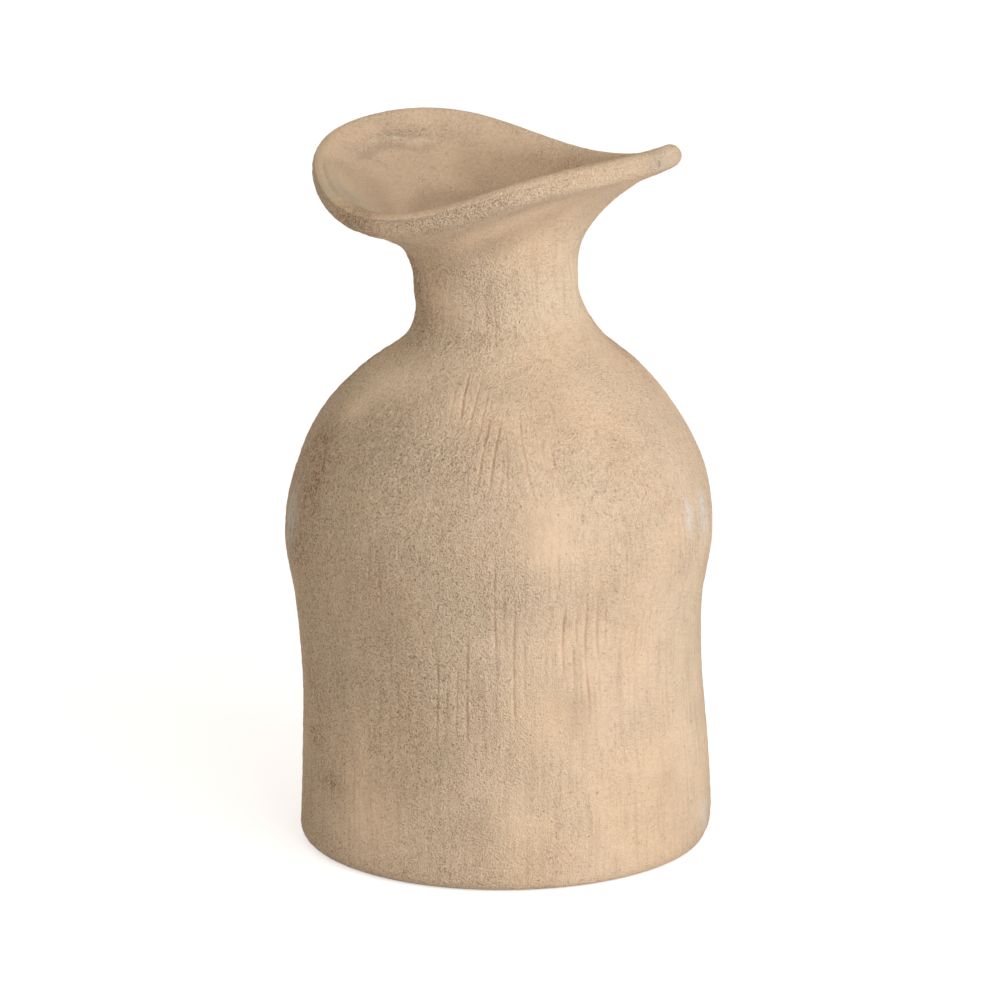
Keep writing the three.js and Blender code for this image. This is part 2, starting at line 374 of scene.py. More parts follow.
GROOVES = (
    # Foot of the neck
    (-96.5, 200, -100.0, 188, 0.20),
    (-90.2, 202, -95.8, 181, 0.20),
    (-104.2, 198, -107.5, 191, 0.14),
    # Shoulder
    (-111.0, 174, -108.5, 164, 0.18),
    (-107.5, 176, -104.2, 163, 0.34),
    (-100.8, 174, -100.5, 158, 0.34),
    (-96.0, 172, -97.2, 159, 0.30),
    (-93.7, 164, -96.0, 147, 0.36),
    (-90.0, 162, -93.0, 143, 0.36),
    (-88.0, 154, -90.5, 141, 0.24),
    (-87.2, 156, -88.0, 142, 0.24),
    (-83.0, 164, -80.8, 143, 0.26),
    (-76.0, 173, -74.5, 167, 0.14),
    (-70.5, 169, -70.0, 162, 0.14),
    (-76.0, 158, -75.7, 147, 0.20),
    (-73.2, 158, -72.5, 138, 0.22),
    (-84.2, 149, -85.0, 143, 0.14),
    (-99.2, 149, -99.0, 136, 0.14),
    (-37.0, 140, -41.0, 131, 0.10),
    (-41.0, 131, -49.0, 125, 0.10),
    # Waist and below it
    (-77.0, 118, -77.0, 108, 0.12),
    (-74.2, 121, -74.5, 110, 0.12),
    (-91.0, 120, -91.0, 84, 0.30),
    (-90.8, 84, -91.5, 58, 0.12),
    (-88.5, 108, -88.5, 87, 0.22),
    (-85.8, 103, -86.5, 59, 0.28),
    (-83.0, 94, -83.2, 67, 0.20),
    (-72.2, 103, -72.2, 78, 0.30),
    (-69.0, 102, -68.0, 88, 0.24),
    (-69.0, 86, -69.0, 70, 0.26),
    (-66.0, 103, -64.8, 64, 0.34),
    (-63.2, 106, -61.5, 82, 0.26),
    (-61.5, 76, -61.2, 62, 0.22),
    (-60.5, 104, -59.0, 86, 0.22),
    (-67.0, 86, -67.5, 65, 0.18),
    # Left of the front
    (-126.2, 118, -126.8, 100, 0.20),
    (-123.3, 118, -123.0, 102, 0.30),
    (-123.0, 102, -127.0, 57, 0.12),
    (-120.0, 111, -123.8, 51, 0.14),
    (-119.0, 89, -121.5, 40, 0.14),
    (-112.8, 72, -113.2, 60, 0.20),
    (-107.0, 86, -108.8, 55, 0.28),
    (-104.8, 74, -106.0, 55, 0.22),
    (-101.5, 82, -103.0, 57, 0.36),
    (-98.5, 91, -100.0, 56, 0.30),
)
GROOVE_HALF_WIDTH = 0.42
GROOVE_FADE = 0.2
GROOVE_DEPTH = 1.2
BURR_HEIGHT = 0.25
SCRAPED_HALF_WIDTH = 1.5
SCRAPED_AT_START = 0.5
SCRAPED_GROWTH = (0.2, 0.8)
DEEP_GROOVE = 0.3
MEAN_BITE = 0.8
CHATTER = (0.5, (2.5, 2.5, 4), 63)
WOBBLES = ((0.25, 9, 61), (0.12, 3, 62))
TOOTH_PITCH = 3.5

# Ranges of the invented marks on the sides and the back
BACK_RAKES = 16
RAKE_AZIMUTHS = (-20, 200)
RAKE_TOPS = (60, 172)
RAKE_LENGTHS = (14, 34)
RAKE_TURNS = (-3, 3)
RAKE_DEPTHS = (0.14, 0.3)
RAKE_TEETH = (1, 6)
TOOTH_ENDS = (-4, 4)
TOOTH_DEPTHS = (0.6, 1)


def back_grooves():
    """Like marks on the sides and the back, each pull of the scraper with one to five of its teeth"""
    draw = np.random.RandomState(11)
    for _ in range(BACK_RAKES):
        azimuth = draw.uniform(*RAKE_AZIMUTHS)
        top = draw.uniform(*RAKE_TOPS)
        bottom = top - draw.uniform(*RAKE_LENGTHS)
        turned = draw.uniform(*RAKE_TURNS)
        depth = draw.uniform(*RAKE_DEPTHS)
        for tooth in range(draw.randint(*RAKE_TEETH)):
            start = azimuth + np.degrees(tooth * TOOTH_PITCH / radius_at(top))
            higher, lower = draw.uniform(*TOOTH_ENDS, 2)
            tooth_depth = depth * draw.uniform(*TOOTH_DEPTHS)
            yield start, top + higher, start + turned, bottom + lower, tooth_depth


def scrape_marks():
    """Relief of all grooves, how much of the body shows in them, and how smooth they left the clay beside
    them"""
    relief = np.zeros_like(skin_height)
    bare = np.zeros_like(skin_height)
    smoothed = np.zeros_like(skin_height)
    level = skin_height[:, 0]
    body = np.arange(len(skin)) <= skin_seams["throat"]
    wobble = layered(skin, *WOBBLES)
    chatter = MEAN_BITE + layered(skin, CHATTER)
    for azimuth, top, low_azimuth, bottom, depth in (*GROOVES, *back_grooves()):
        fade = GROOVE_FADE * (top - bottom)
        rows = np.flatnonzero(body & (level > bottom - fade) & (level < top + fade))
        share = ((top - level[rows]) / (top - bottom))[:, None]
        turned = np.radians(azimuth + (low_azimuth - azimuth) * share)
        away = (AZIMUTHS - turned + np.pi) % (2 * np.pi) - np.pi
        away = away * skin_radius[rows] + wobble[rows]
        run = between(share, -GROOVE_FADE, GROOVE_FADE, 1 - GROOVE_FADE, 1 + GROOVE_FADE)
        bite = run * chatter[rows] * depth
        groove = np.exp(-(away / GROOVE_HALF_WIDTH)**2)
        burr = np.exp(-((np.abs(away) - 2 * GROOVE_HALF_WIDTH) / GROOVE_HALF_WIDTH)**2)
        beside = run * np.exp(-(away / SCRAPED_HALF_WIDTH)**4) * depth / DEEP_GROOVE
        relief[rows] += bite * (BURR_HEIGHT * burr - GROOVE_DEPTH * groove)
        bare[rows] += bite * groove / DEEP_GROOVE
        grown = SCRAPED_AT_START + (1 - SCRAPED_AT_START) * soft_step(share, *SCRAPED_GROWTH)
        smoothed[rows] = np.maximum(smoothed[rows], beside * grown)
    return relief, bare, smoothed


# Marks of the maker's thumb inside the mouth: a crumbly lip of clay, at these distances from the rim's
# edge at these azimuths, over a pressed hollow, and a crease where the roll was smoothed down

LIP_AZIMUTHS = (114, 124, 138, 158)
LIP_DISTANCES = (16.5, 17.5, 12.5, 12)
LIP_HEIGHT = 0.7
LIP_HALF_WIDTH = 1.6
LIP_CRUMBS = (0.9, 3, 64)
PRESSED_AZIMUTHS = (112, 122, 148, 164)
HOLLOW_BELOW_LIP = 3.4
HOLLOW_DEPTH = 0.6
HOLLOW_HALF_WIDTH = 1.6
CREASE_AZIMUTHS = (174, 186, 200, 216)
CREASE_DISTANCE = 1.8
CREASE_DEPTH = 1.0
CREASE_HALF_WIDTH = 0.8


def thumb_marks():
    """Relief of the marks, and how much of the lip and of the hollow is at each point"""
    degrees = np.degrees(AZIMUTHS) % 360
    crumbly = 1 + layered(skin, LIP_CRUMBS)
    below = from_edge - np.interp(degrees, LIP_AZIMUTHS, LIP_DISTANCES)
    pressed = inside * between(degrees, *PRESSED_AZIMUTHS)
    lip = pressed * crumbly * np.exp(-(below / LIP_HALF_WIDTH)**2)
    hollow = pressed * np.exp(-((below - HOLLOW_BELOW_LIP) / HOLLOW_HALF_WIDTH)**2)
    creased = inside * between(degrees, *CREASE_AZIMUTHS)
    crease = creased * np.exp(-((from_edge - CREASE_DISTANCE) / CREASE_HALF_WIDTH)**2)
    return LIP_HEIGHT * lip - HOLLOW_DEPTH * hollow - CREASE_DEPTH * crease, lip, hollow


# Strength of the clay's grain, its brown body, its duller film with painted shade, its paler film with
# painted light, its khaki film and its chalky scuffs at each point of the skin. Spots are azimuth, height,
# half width, half height and strength, and those at the mouth have their distance past the rim's edge in
# place of a height

SMOOTH_SPOTS = (
    (-79, 127, 9, 13, 0.6),
    (-142, 171, 12, 7, 0.6),
    (-153, 161, 9, 5, 0.7),
    (-136, 62, 6, 28, 0.5),
    (-130, 26, 10, 12, 0.4),
    (-128, 198, 12, 9, 0.6),
    (-104, 168, 16, 7, 0.3),
    (-86, 26, 12, 10, 0.3),
    (-35, 110, 45, 120, 0.2),
    (-45, 40, 40, 36, 0.3),
    (-130, 14, 22, 12, 0.6),
    (-162, 172, 16, 8, 0.5),
    (-112, 180, 18, 7, 0.3),
)
COARSE_SPOTS = (
    (-152, 105, 30, 110, 0.3),
    (-158, 142, 13, 17, 0.3),
    (-162, 198, 8, 14, 0.4),
    (-97, 206, 8, 9, 0.15),
    (-100, 186, 34, 3.5, 0.15),
    (-128, 152, 14, 8, 0.15),
    (-88, 106, 10, 8, 0.3),
    (-112, 68, 16, 22, 0.1),
    (-112, 108, 18, 14, 0.2),
)
MOUTH_COARSE_SPOTS = (
    (264, -2, 26, 5, 0.4),
    (280, -13, 20, 6, 0.5),
    (222, 0, 8, 4, 0.6),
    (332, 0, 8, 4, 0.4),
    (134, 14, 22, 4, 0.5),
)
MOUTH_SMOOTH_SPOTS = (
    (190, -2, 20, 6, 0.4),
    (203, 8, 10, 7, 0.3),
    (250, -26, 30, 14, 0.4),
    (232, -4, 16, 8, 0.5),
)
BROWN_SPOTS = (
    (-158, 147, 10, 10, 1.0),
    (-155, 134, 11, 12, 1.0),
    (-160, 113, 14, 10, 0.9),
    (-172, 138, 9, 18, 0.5),
    (-163, 85, 11, 24, 0.5),
    (-160, 58, 10, 12, 0.7),
    (-158, 43, 7, 4, 1.0),
    (-148, 30, 7, 3, 1.0),
    (-166, 20, 8, 12, 0.7),
    (-163, 205, 9, 17, 1.0),
    (-95, 208, 9, 7, 0.15),
    (-112, 187, 22, 3, 0.25),
    (-124, 110, 4, 8, 0.4),
    (-117, 62, 5, 16, 0.3),
)
MOUTH_BROWN_SPOTS = (
    (220, -2, 13, 4, 0.9),
    (302, 3, 9, 3, 0.2),
    (60, 13, 12, 4, 0.4),
)
DULL_SPOTS = (
    (-135, 120, 8, 16, 0.5),
    (-138, 70, 8, 14, 0.5),
    (-120, 98, 8, 16, 0.5),
    (-107, 50, 10, 7, 0.5),
    (-97, 24, 8, 7, 0.5),
    (-70, 67, 9, 4, 0.4),
    (-80, 128, 12, 14, 0.3),
    (-68, 59, 8, 8, 0.4),
    (-37, 30, 10, 12, 0.4),
    (-71, 166, 10, 8, 0.3),
)
# Painted shade inside the mouth towards the throat, along the inside of the front rim and under the rim at
# the front, with a few duller patches of slip
MOUTH_SHADE_AND_DULL_SPOTS = (
    (75, 24, 26, 12, 1.0),
    (45, 10, 18, 7, 1.0),
    (25, 10, 14, 8, 0.8),
    (345, 20, 16, 10, 0.6),
    (318, 3, 24, 4, 0.5),
    (275, 4, 24, 3, 0.6),
    (185, 22, 20, 10, 0.7),
    (135, 26, 20, 6, 0.3),
    (177, 10, 14, 5, 0.4),
    (150, 42, 30, 5, 0.6),
    (110, 42, 16, 4.5, 0.6),
    (88, 33, 14, 5, 0.5),
    (68, 18, 12, 5, 0.4),
    (228, 2, 16, 5, 0.6),
    (245, 5, 26, 3, 0.5),
    (200, 5, 24, 3, 0.4),
    (242, -9, 34, 6, 0.2),
    (268, -36, 20, 9, 0.7),
)
# Paler film, with painted light in the bands along the right edge of the neck and of the lower body
PALE_AND_EDGE_LIGHT_SPOTS = (
    (-157, 175, 18, 8, 0.8),
    (-175, 156, 10, 6, 1.0),
    (-163, 170, 14, 8, 0.8),
    (-112, 180, 18, 8, 0.6),
    (-165, 134, 4, 14, 0.5),
    (-149, 142, 1.8, 8, 0.6),
    (-170, 180, 14, 8, 1.0),
    (-95, 199, 14, 14, 1.0),
    (-107, 72, 5, 12, 0.5),
    (-56, 123, 6, 10, 0.4),
    (-62, 147, 8, 8, 0.4),
    (-115, 154, 12, 8, 0.5),
    (-18, 11, 6, 8, 0.8),
    (-135, 172, 16, 8, 0.5),
    (-100, 170, 20, 8, 0.3),
    (-50, 172, 24, 8, 0.4),
    (-130, 12, 22, 10, 0.15),
    (-50, 198, 30, 12, 0.6),
    (-118, 184, 14, 5, 0.8),
    (-165, 80, 10, 44, 0.8),
    (-152, 158, 12, 6, 0.6),
    (-20, 205, 14, 25, 0.7),
    (-92, 90, 22, 60, 0.3),
    (-69, 27, 8, 7, 0.4),
    (-50, 40, 30, 44, 0.15),
    (-22, 70, 16, 60, 0.7),
)
# Painted light on the lower flank of the rim at the front, on its tip and along the flare's right edge,
# with a paler patch on the rim at the left
MOUTH_LIGHT_AND_PALE_SPOTS = (
    (160, -2, 20, 4, 0.4),
    (285, -8, 36, 5, 1.3),
    (340, -25, 16, 18, 0.6),
    (340, -2, 10, 6, 1.0),
)
MOUTH_KHAKI_SPOTS = (
    (203, 8, 10, 9, 1.0),
    (190, -3, 14, 6, 0.8),
    (212, -6, 8, 5, 0.6),
    (165, -1, 14, 3, 0.5),
)
CHALK_SPOTS = (
    (-27.5, 124, 2.4, 5.5, 1.2),
    (-17, 121.5, 4, 7, 1.5),
    (-167, 120, 6, 9, 1.6),
    (-16, 11, 3.4, 4.4, 1.3),
)
MOUTH_CHALK_SPOTS = (
    (333, -2, 3, 2, 0.5),
)

# Ranges of the invented spots on the sides and the back, with their sizes as shares of a mean size
BACK_SPOTS = 18
SPOT_AZIMUTHS = (0, 175)
SPOT_HEIGHTS = (10, 200)
SPOT_WIDTH_SHARES = (0.6, 1.5)
SPOT_HEIGHT_SHARES = (0.8, 2.2)
SPOT_STRENGTH_SHARES = (0.4, 1)

# Grain inside the mouth and outside, where it is stronger round one azimuth, and how much a scraper took
GRAIN_INSIDE = 0.45
GRAIN_OUTSIDE = 0.7
ROUGH_SIDE = 200
ROUGH_SIDE_SPREAD = (-0.1, 0.9)
ROUGH_SIDE_GRAIN = 0.6
GRAIN_PATCHES = ((0.15, 22, 31), (0.12, 9, 32))
GRAIN_SCRAPED_OFF = 0.3
GRAIN_LIMITS = (0.05, 2)

# The clay looks paler where its grain is stronger than even and where it was scraped smooth. The thumb's
# lip has a painted highlight, and the thumb's hollow painted shade
EVEN_GRAIN = 0.6
PALE_WITH_GRAIN = 0.35
PALE_SCRAPED = 0.12
LIP_PAINTED_LIGHT = 0.8
HOLLOW_PAINTED_SHADE = 0.4


def back_spots(seed, size, strength):
    """Like patches on the sides and the back"""
    draw = np.random.RandomState(seed)
    return tuple(
        (
            draw.uniform(*SPOT_AZIMUTHS),
            draw.uniform(*SPOT_HEIGHTS),
            size * draw.uniform(*SPOT_WIDTH_SHARES),
            size * draw.uniform(*SPOT_HEIGHT_SHARES),
            strength * draw.uniform(*SPOT_STRENGTH_SHARES),
        )
        for _ in range(BACK_SPOTS)
    )


def outside_and_mouth(outside_spots, mouth_spots=()):
    return spots(outside_spots) * ~inside + spots(mouth_spots, past_edge)


def film(outside_spots, mouth_spots=(), more=0):
    """Share of the surface that a film covers"""
    return np.clip(outside_and_mouth(outside_spots, mouth_spots) + more, 0, 1)


mark_relief, bare_marks, smoothed = scrape_marks()
thumb_relief, thumb_lip, thumb_hollow = thumb_marks()
coarse = outside_and_mouth(COARSE_SPOTS + back_spots(21, 9, 0.4), MOUTH_COARSE_SPOTS)
smooth = outside_and_mouth(SMOOTH_SPOTS + back_spots(22, 8, 0.4), MOUTH_SMOOTH_SPOTS)
rough_side = soft_step(np.cos(AZIMUTHS - np.radians(ROUGH_SIDE)), *ROUGH_SIDE_SPREAD)
grain = np.where(inside, GRAIN_INSIDE, GRAIN_OUTSIDE + ROUGH_SIDE_GRAIN * rough_side)
grain = grain + layered(skin, *GRAIN_PATCHES) + coarse - smooth - GRAIN_SCRAPED_OFF * smoothed
paler = PALE_WITH_GRAIN * (grain - EVEN_GRAIN) + PALE_SCRAPED * smoothed + LIP_PAINTED_LIGHT * thumb_lip
# The duller and paler shares hold painted shade and painted light as well as the films themselves
FINISH_AND_PAINTED_LIGHT = {
    "grain": np.clip(grain, *GRAIN_LIMITS),
    "brown": film(BROWN_SPOTS + back_spots(23, 7, 0.6), MOUTH_BROWN_SPOTS),
    "bare": np.clip(bare_marks, 0, 1),
    "dull_and_painted_shade": film(DULL_SPOTS + back_spots(24, 9, 0.6), MOUTH_SHADE_AND_DULL_SPOTS, HOLLOW_PAINTED_SHADE * thumb_hollow),
    "pale_and_painted_light": film(PALE_AND_EDGE_LIGHT_SPOTS + back_spots(25, 8, 0.7), MOUTH_LIGHT_AND_PALE_SPOTS, paler),
    "khaki": film((), MOUTH_KHAKI_SPOTS),
    "chalk": film(CHALK_SPOTS, MOUTH_CHALK_SPOTS),
}

# Relief along the normals: slow waves, brush marks that run down the walls and wiping marks that run
# round the rim, the coarse part of the grain, the marks, and the foot's edge, which is worn at the right.
# It fades out above the floor, so that the foot stays flat underneath

WAVES = ((0.2, 34, 1), (0.08, 13, 2))
BRUSH_MARKS = ((0.04, (2.4, 2.4, 40), 3), (0.02, (1.3, 1.3, 22), 6))
WIPING_MARKS = (0.08, (24, 24, 1.5), 7)
WIPED = (12, 30)
COARSE_GRAIN = ((0.05, 2.6, 4), (0.12, 1.6, 5))
WORN_EDGE = ((-12, 2.5, 24, 4.5, 1.0),)
FLAT_FOOT = (0, 2)

round_the_rim = np.stack([
    np.broadcast_to(MOUTH_RADIUS * np.cos(AZIMUTHS), from_edge.shape),
    np.broadcast_to(MOUTH_RADIUS * np.sin(AZIMUTHS), from_edge.shape),
    from_edge,
], -1)
relief = (
    layered(skin, *WAVES)
    + layered(skin, *BRUSH_MARKS) * ~inside
    + layered(round_the_rim, WIPING_MARKS) * ~inside * (1 - soft_step(from_edge, *WIPED))
    + layered(skin, *COARSE_GRAIN) * FINISH_AND_PAINTED_LIGHT["grain"]
    + mark_relief
    + thumb_relief
    - spots(WORN_EDGE) * ~inside
)
relief *= soft_step(skin_height, *FLAT_FOOT)
skin = skin + grid_normals(skin) * relief[..., None]
skin_normals = grid_normals(skin)


# Meshes of closed rings of points. The bake holds the strip round a piece in this many rows, and leaves
# this share of a row free above and below

BAKE_ROWS = 2
BAKE_GAP = 0.004


class Rings:
    """Rings of one piece in order, in blocks: a block shades smoothly within itself and meets the next
    one with a sharp edge"""

    def __init__(self):
        self.points = []
        self.normals = []
        self.finish_and_light = {name: [] for name in FINISH_AND_PAINTED_LIGHT}
        self.block = []

    def add(self, points, normals=None, finish_and_light=None):
        points = np.asarray(points)
        block = self.block[-1] + 1 if self.block else 0
        plain = np.zeros(points.shape[:2])
        self.points.extend(points)
        self.normals.extend(np.zeros_like(points) if normals is None else normals)
        for name, values in self.finish_and_light.items():
            values.extend(plain if finish_and_light is None else finish_and_light[name])
        self.block.extend([block] * len(points))

    def add_skin(self, start, end):
        """Rows of the skin from one seam to another, both included"""
        rows = slice(skin_seams[start], skin_seams[end] + 1)
        self.add(skin[rows], skin_normals[rows], {name: values[rows] for name, values in FINISH_AND_PAINTED_LIGHT.items()})


def number_points(count, sides, poles):
    """Index of the mesh's point at each place of the rings, with one point for each pole"""
    number = np.arange(count * sides).reshape(count, sides)
    if poles:
        number[0] = 0
        number[1:-1] = 1 + np.arange((count - 2) * sides).reshape(-1, sides)
        number[-1] = 1 + (count - 2) * sides
    return number


def strip_uv(row, rows, sides):
    """Places in the bake of the corners of one row of faces"""
    column = np.arange(sides)
    half = sides // BAKE_ROWS
    left = (column % half) / half
    right = left + 1 / half
    shelf = (column // half) / BAKE_ROWS
    bottom = shelf + (BAKE_GAP + (1 - 2 * BAKE_GAP) * row / rows) / BAKE_ROWS
    top = shelf + (BAKE_GAP + (1 - 2 * BAKE_GAP) * (row + 1) / rows) / BAKE_ROWS
    corners = ((left, bottom), (right, bottom), (right, top), (left, top))
    return np.stack([np.stack(corner, -1) for corner in corners], 1)


def mark_sharp_edges(mesh, number, block):
    """Sharpens the rings at which a block ends or starts"""
    count = len(number)
    ends = np.flatnonzero(block != np.roll(block, -1))
    row_of = np.zeros(number.max() + 1, int)
    row_of[number] = np.arange(count)[:, None]
    is_sharp = np.zeros(len(row_of), bool)
    for row in set(ends) | {(row + 1) % count for row in ends}:
        is_sharp[number[row]] = True
    edges = np.zeros(len(mesh.edges) * 2, np.int32)
    mesh.edges.foreach_get("vertices", edges)
    start, end = edges.reshape(-1, 2).T
    sharp_edge = (row_of[start] == row_of[end]) & is_sharp[start]
    mesh.attributes.new("sharp_edge", "BOOLEAN", "EDGE").data.foreach_set("value", sharp_edge)


def make_mesh(name, rings, poles):
    """Closed mesh of rings. With poles, the first and last rings are single points on the axis, and
    otherwise the last ring joins the first"""
    points = np.array(rings.points)
    normals = np.array(rings.normals)
    block = np.array(rings.block)
    count, sides = points.shape[:2]
    number = number_points(count, sides, poles)
    rows = count - 1 if poles else count
    following = (np.arange(sides) + 1) % sides
    faces, corner_normals, corner_uv = [], [], []
    for low in range(rows):
        high = (low + 1) % count
        quads, quad_normals = (
            np.stack([values[low], values[low][following], values[high][following], values[high]], 1)
            for values in (number, normals)
        )
        quad_normals = quad_normals * (block[low] == block[high])
        keep = [0, 1, 2, 3]
        if poles and low == 0:
            keep = [0, 2, 3]
        if poles and high == count - 1:
            keep = [0, 1, 2]
        faces += quads[:, keep].tolist()
        corner_normals.append(quad_normals[:, keep].reshape(-1, 3))
        corner_uv.append(strip_uv(low, rows, sides)[:, keep].reshape(-1, 2))
    first = np.unique(number, return_index=True)[1]
    mesh = bpy.data.meshes.new(name)
    mesh.from_pydata((points.reshape(-1, 3)[first] * MM).tolist(), [], faces)
    mesh.shade_smooth()
    for finish_and_light, finish_rings in rings.finish_and_light.items():
        values = np.array(finish_rings).reshape(-1)[first]
        mesh.attributes.new(finish_and_light, "FLOAT", "POINT").data.foreach_set("value", values.astype(np.float32))
    uv_map = mesh.uv_layers.new(name="OFBake")
    uv_map.data.foreach_set("uv", np.concatenate(corner_uv).reshape(-1).astype(np.float32))
    mark_sharp_edges(mesh, number, block)
    mesh.normals_split_custom_set(np.concatenate(corner_normals).tolist())
    mesh.validate()
    return mesh


def make_piece(name, node, rings, material, poles=False):
    piece = bpy.data.objects.new(name, make_mesh(name, rings, poles))
    bpy.context.scene.collection.objects.link(piece)
    piece.data.materials.append(material)
    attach(piece, "root")
    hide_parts(node)
    return piece


# Materials

# Numbers of the colour mixing node's sockets
MIX_FROM = 6
MIX_TO = 7
MIX_RESULT = 2


class Shader:
    """Node tree of one material, with short ways to add its nodes"""

    def __init__(self, name):
        self.material = bpy.data.materials.new(name)
        self.material.use_nodes = True
        self.tree = self.material.node_tree
        self.surface = self.tree.nodes["Principled BSDF"]
        self.places = self.add("ShaderNodeTexCoord").outputs["Object"]

    def add(self, kind, links=(), **settings):
        node = self.tree.nodes.new(kind)
        for setting, value in settings.items():
            setattr(node, setting, value)
        for socket, value in dict(links).items():
            self.set(node.inputs[socket], value)
        return node

    def set(self, socket, value):
        if isinstance(value, bpy.types.NodeSocket):
            self.tree.links.new(value, socket)
        else:
            socket.default_value = value

    def noise(self, size, detail=2, roughness=0.5, stretch=None):
        """Noise with spots of about this size in millimetres"""
        places = self.places
        if stretch:
            places = self.add("ShaderNodeMapping", {"Vector": places, "Scale": stretch}).outputs[0]
        links = {"Vector": places, "Scale": 1 / (size * MM), "Detail": detail, "Roughness": roughness}
        return self.add("ShaderNodeTexNoise", links).outputs["Fac"]

    def specks(self, spacing, radius, share, ragged=None):
        """A share of the cells of this spacing in millimetres hold a speck, whose radius is a share of the
        spacing. A noise makes their outlines ragged"""
        links = {"Vector": self.places, "Scale": 1 / (spacing * MM)}
        cells = self.add("ShaderNodeTexVoronoi", links)
        reach = cells.outputs["Distance"]
        if ragged:
            reach = self.math("ADD", reach, self.times(ragged, RAGGEDNESS))
            reach = self.math("SUBTRACT", reach, RAGGEDNESS / 2)
        dots = self.spread(reach, radius, 0.5 * radius)
        chosen = self.add("ShaderNodeSeparateColor", {"Color": cells.outputs["Color"]}).outputs[0]
        return self.times(dots, self.math("GREATER_THAN", chosen, 1 - share))

    def attribute(self, name):
        return self.add("ShaderNodeAttribute", attribute_name=name).outputs["Fac"]

    def math(self, operation, a, b):
        return self.add("ShaderNodeMath", {0: a, 1: b}, operation=operation).outputs[0]

    def times(self, a, b):
        return self.math("MULTIPLY", a, b)

    def spread(self, value, low, high, to_low=0.0, to_high=1.0):
        """Moves a value from one range to another, with soft ends"""
        links = {"Value": value, "From Min": low, "From Max": high, "To Min": to_low, "To Max": to_high}
        return self.add("ShaderNodeMapRange", links, interpolation_type="SMOOTHSTEP").outputs["Result"]

    def blend(self, share, a, b):
        node = self.add("ShaderNodeMix", data_type="RGBA")
        self.set(node.inputs["Factor"], share)
        self.set(node.inputs[MIX_FROM], a)
        self.set(node.inputs[MIX_TO], b)
        return node.outputs[MIX_RESULT]

    def bump(self, height, distance):
        """Normal of a relief, whose full height is a distance in millimetres"""
        links = {"Height": height, "Distance": distance * MM, "Strength": 1.0}
        return self.add("ShaderNodeBump", links).outputs["Normal"]


def colour(red, green, blue):
    """Linear colour of the 8-bit values that a picture shows"""
    values = np.array([red, green, blue]) / 255
    linear = np.where(values <= 0.04045, values / 12.92, ((values + 0.055) / 1.055)**2.4)
    return (*linear, 1)


# The duller sand also serves as painted shade and the paler sand as painted light
SAND = colour(244, 216, 184)
WARM_SAND = colour(246, 215, 179)
DULL_SAND_AND_SHADE = colour(206, 179, 148)
PALE_SAND_AND_LIGHT = colour(250, 226, 193)
# The grain's paler colour is partly painted light on its high points, and its brown partly painted shade
# in its hollows
PALE_GRAIN_AND_LIGHT = colour(246, 230, 204)
BROWN_GRAIN_AND_SHADE = colour(176, 116, 72)
BROWN_CLAY = colour(192, 138, 96)
BARE_CLAY = colour(186, 146, 118)
KHAKI = colour(188, 176, 147)
SPECK = colour(160, 122, 92)
CHALK = colour(242, 233, 220)
GLAZE = colour(186, 163, 134)
GLAZE_DARK = colour(160, 136, 108)

# Sizes of the slip's marks in millimetres, from its clouds to its single grains
CLOUD_SIZE = 38
MOTTLE_SIZE = 14
CLUMP_SIZE = 2.4
STREAK_SIZE = 1.4
SAND_SIZE = 1.2
GRAIN_SIZE = 0.6
STREAK_STRETCH = (1, 1, 0.05)
RUB_STRETCH = (1, 1, 0.2)

# Ranges of a noise over which a mark fades in
CLOUD_RANGE = (0.35, 0.65)
MOTTLE_RANGE = (0.45, 0.75)
CLUMP_RANGE = (0.35, 0.6)
RUBBED_RANGE = (0.32, 0.6)
BODY_RANGE = (0.62, 0.46)
PIT_RANGE = (0.5, 0.3)
CRUMB_RANGE = (0.5, 0.7)
SHINE_RANGE = (0.3, 0.7)

# Shares of the marks' colours at full strength, and for the hollows' brown and painted shade from the
# finest to the coarsest grain
MOTTLE_SHARE = 0.2
SAND_SHARE = 0.2
STREAK_SHARE = 0.4
KHAKI_SHARE = 0.8
BODY_SHARE = 0.9
BARE_SHARE = 0.6
CRUMB_SHARE = 0.4
PIT_SHARES = (0.12, 0.6)
PIT_GRAINS = (0.3, 1.6)

# Specks and pinholes: spacing in millimetres, radius as a share of it, and share of the cells with one
SPECKS = (2.6, 0.12, 0.3)
PINHOLES = (1.6, 0.35, 0.15)
PINHOLE_DEPTH = 0.2
RAGGEDNESS = 0.8
GRAIN_HEIGHT = 1.75
SLIP_ROUGHNESS = (0.95, 0.8)
SLIP_SPECULAR = 0.25
SLIP_SHEEN = 0.06


